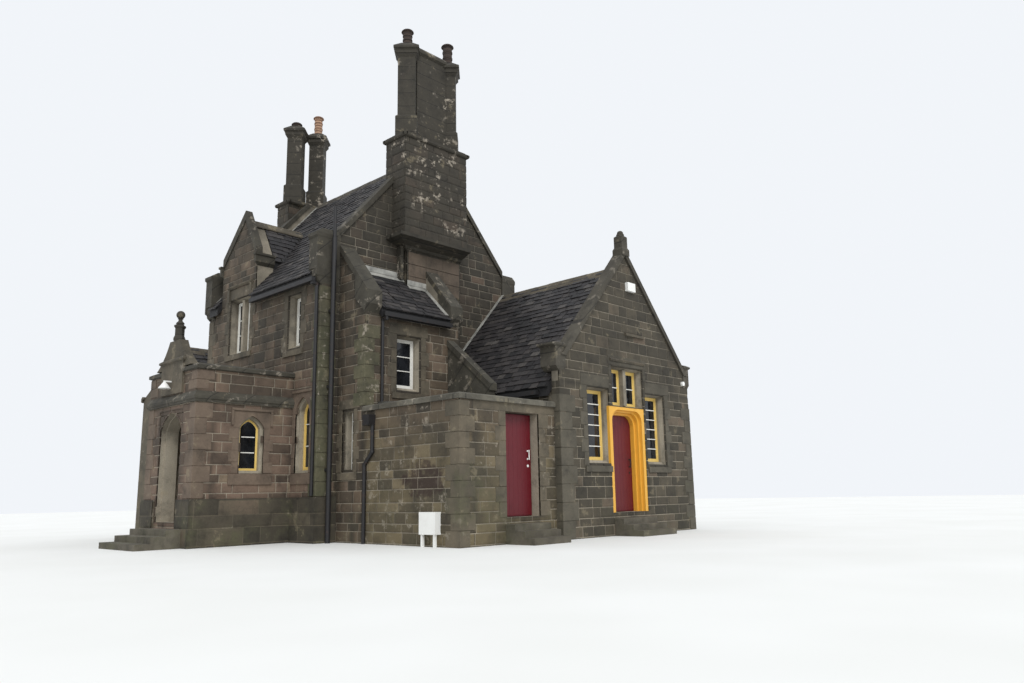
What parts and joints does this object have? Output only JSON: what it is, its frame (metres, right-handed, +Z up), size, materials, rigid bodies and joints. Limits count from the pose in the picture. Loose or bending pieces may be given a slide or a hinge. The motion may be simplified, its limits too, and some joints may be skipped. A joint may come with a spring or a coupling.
{
  "type": "railway station house",
  "caption": "Stone Tudor-style station house with gabled main block, arched entrance porch, gabled wing, lean-to, clustered chimney shafts and hinged doors.",
  "frame": {"origin": "ground level at the near left outer corner of the main block, under the porch-side wall", "axes": "+X along the gable fronts away from the porch, +Y back along the porch side, +Z up"},
  "size_m": [11.63, 13.28, 13.0353],
  "materials": {
    "brown_stone": "weathered coursed sandstone",
    "pink_ashlar": "dressed pinkish sandstone",
    "stone_slate": "dark stone tiles",
    "grey_coping": "grey weathered stone",
    "black_stone": "soot-blackened stone",
    "fired_clay": "matt fired clay",
    "crimson_paint": "gloss painted boards",
    "yellow_paint": "painted stone",
    "black_iron": "painted iron",
    "white_paint": "painted timber",
    "window_glass": "dark reflecting panes",
    "floor_boards": "plain boards",
    "lamp_white": "plain"
  },
  "bodies": {
    "station_house": {"facade_wall": "brown_stone", "rear_wall": "brown_stone", "near_gable_wall": "brown_stone", "far_gable_wall": "brown_stone", "plinth_course": "pink_ashlar", "ground_floor": "floor_boards", "upper_floor": "floor_boards", "main_roof_porch_side": "stone_slate", "main_roof_rear_side": "stone_slate", "bay_roof": "stone_slate", "near_gable_coping": "grey_coping", "far_gable_coping": "grey_coping", "bay_gable_coping": "grey_coping", "hood_moulds": "brown_stone", "near_chimney_breast": "brown_stone", "near_chimney_stack": "black_stone", "far_chimney_breast": "brown_stone", "far_chimney_stack": "black_stone", "near_chimney_shafts": "black_stone", "far_chimney_shafts": "black_stone", "chimney_pots": "fired_clay", "extension_front_wall": "brown_stone", "extension_side_walls": "brown_stone", "extension_roof": "stone_slate", "extension_copings": "grey_coping", "raking_half_gable": "brown_stone", "lean_to_side_wall": "brown_stone", "lean_to_wall_beside_door": "brown_stone", "lean_to_door_lintel": "pink_ashlar", "lean_to_roof": "grey_coping", "lean_to_coping": "grey_coping", "wing_front_wall_left": "brown_stone", "wing_front_wall_right": "brown_stone", "wing_front_gable": "brown_stone", "wing_left_wall": "brown_stone", "wing_right_wall": "brown_stone", "wing_rear_wall": "brown_stone", "wing_roof": "stone_slate", "wing_coping": "grey_coping", "outhouse_walls": "brown_stone", "outhouse_roof": "stone_slate", "wing_door_surround": "yellow_paint", "door_hinges": "black_iron", "porch_front_wall": "pink_ashlar", "porch_side_walls": "pink_ashlar", "porch_string_and_coping": "grey_coping", "porch_shaped_gable": "brown_stone", "porch_roof": "stone_slate", "porch_finial": "black_stone", "porch_buttress": "brown_stone", "entrance_steps": "grey_coping", "window_frames": "white_paint", "window_glass": "window_glass", "gutters_and_pipes": "black_iron", "wall_lamps": "lamp_white", "meter_box": "lamp_white"},
    "lean_to_door": {"lean_to_door": "crimson_paint"},
    "wing_door": {"wing_door": "crimson_paint"}
  },
  "joints": [
    {"name": "lean_to_door_hinge", "type": "hinge", "parent": "station_house", "child": "lean_to_door", "pos_m": [1.712, -3.713, 0.5], "axis": [0, 0, 1], "range_deg": [0, 90]},
    {"name": "wing_door_hinge", "type": "hinge", "parent": "station_house", "child": "wing_door", "pos_m": [5.072, -3.793, 0.5], "axis": [0, 0, 1], "range_deg": [0, 90]}
  ]
}
